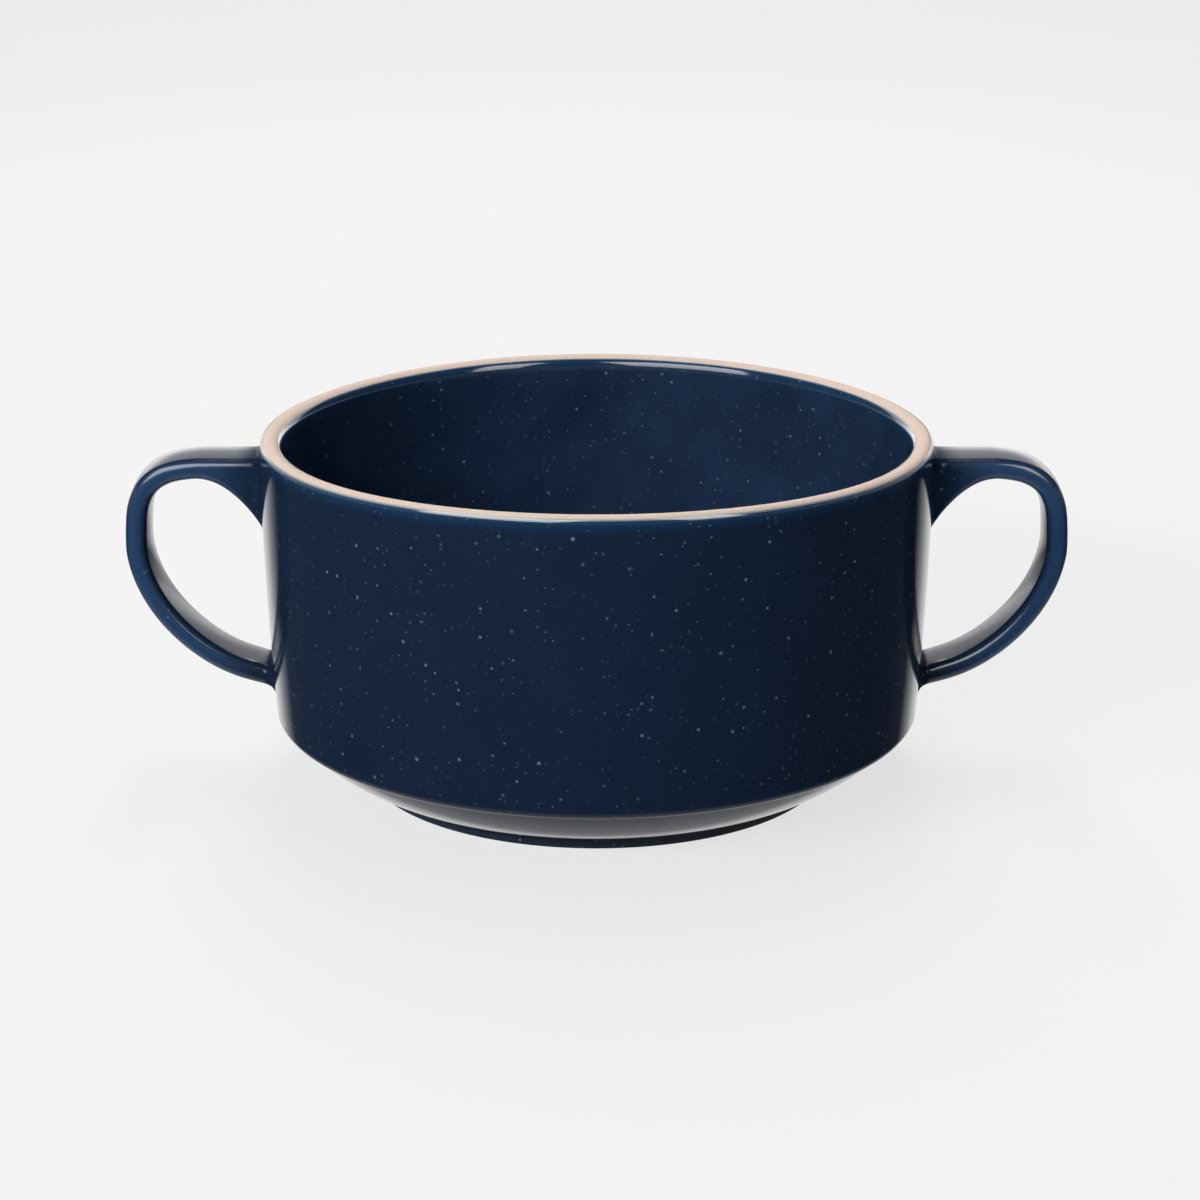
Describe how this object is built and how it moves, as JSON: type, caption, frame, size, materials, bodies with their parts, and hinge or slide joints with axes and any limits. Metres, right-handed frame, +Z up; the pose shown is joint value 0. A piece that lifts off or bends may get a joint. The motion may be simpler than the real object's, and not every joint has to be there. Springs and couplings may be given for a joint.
{
  "type": "soup bowl with two handles",
  "caption": "Round stoneware soup bowl with a straight wall, stepped foot, bare buff lip, speckled navy glaze and an ear-shaped strap handle on each side.",
  "frame": {"origin": "on the floor at the bowl's axis, in the plane of the foot ring", "axes": "+Z up along the bowl's axis, X through the two handles with the right handle at +X, Y across from front to back"},
  "size_m": [0.1906, 0.135, 0.072],
  "materials": {
    "buff_stoneware": "bare fired buff stoneware, matt",
    "navy_glaze": "glossy navy glaze with fine pale speckle",
    "glazed_strap": "glossy navy glaze with fine pale speckle, over clay"
  },
  "bodies": {
    "root": {"clay_body": "buff_stoneware", "outside_glaze": "navy_glaze", "inside_glaze": "navy_glaze", "base_glaze": "navy_glaze", "left_handle": "glazed_strap", "left_upper_joint": "glazed_strap", "left_lower_joint": "glazed_strap", "right_handle": "glazed_strap", "right_upper_joint": "glazed_strap", "right_lower_joint": "glazed_strap"}
  },
  "joints": []
}
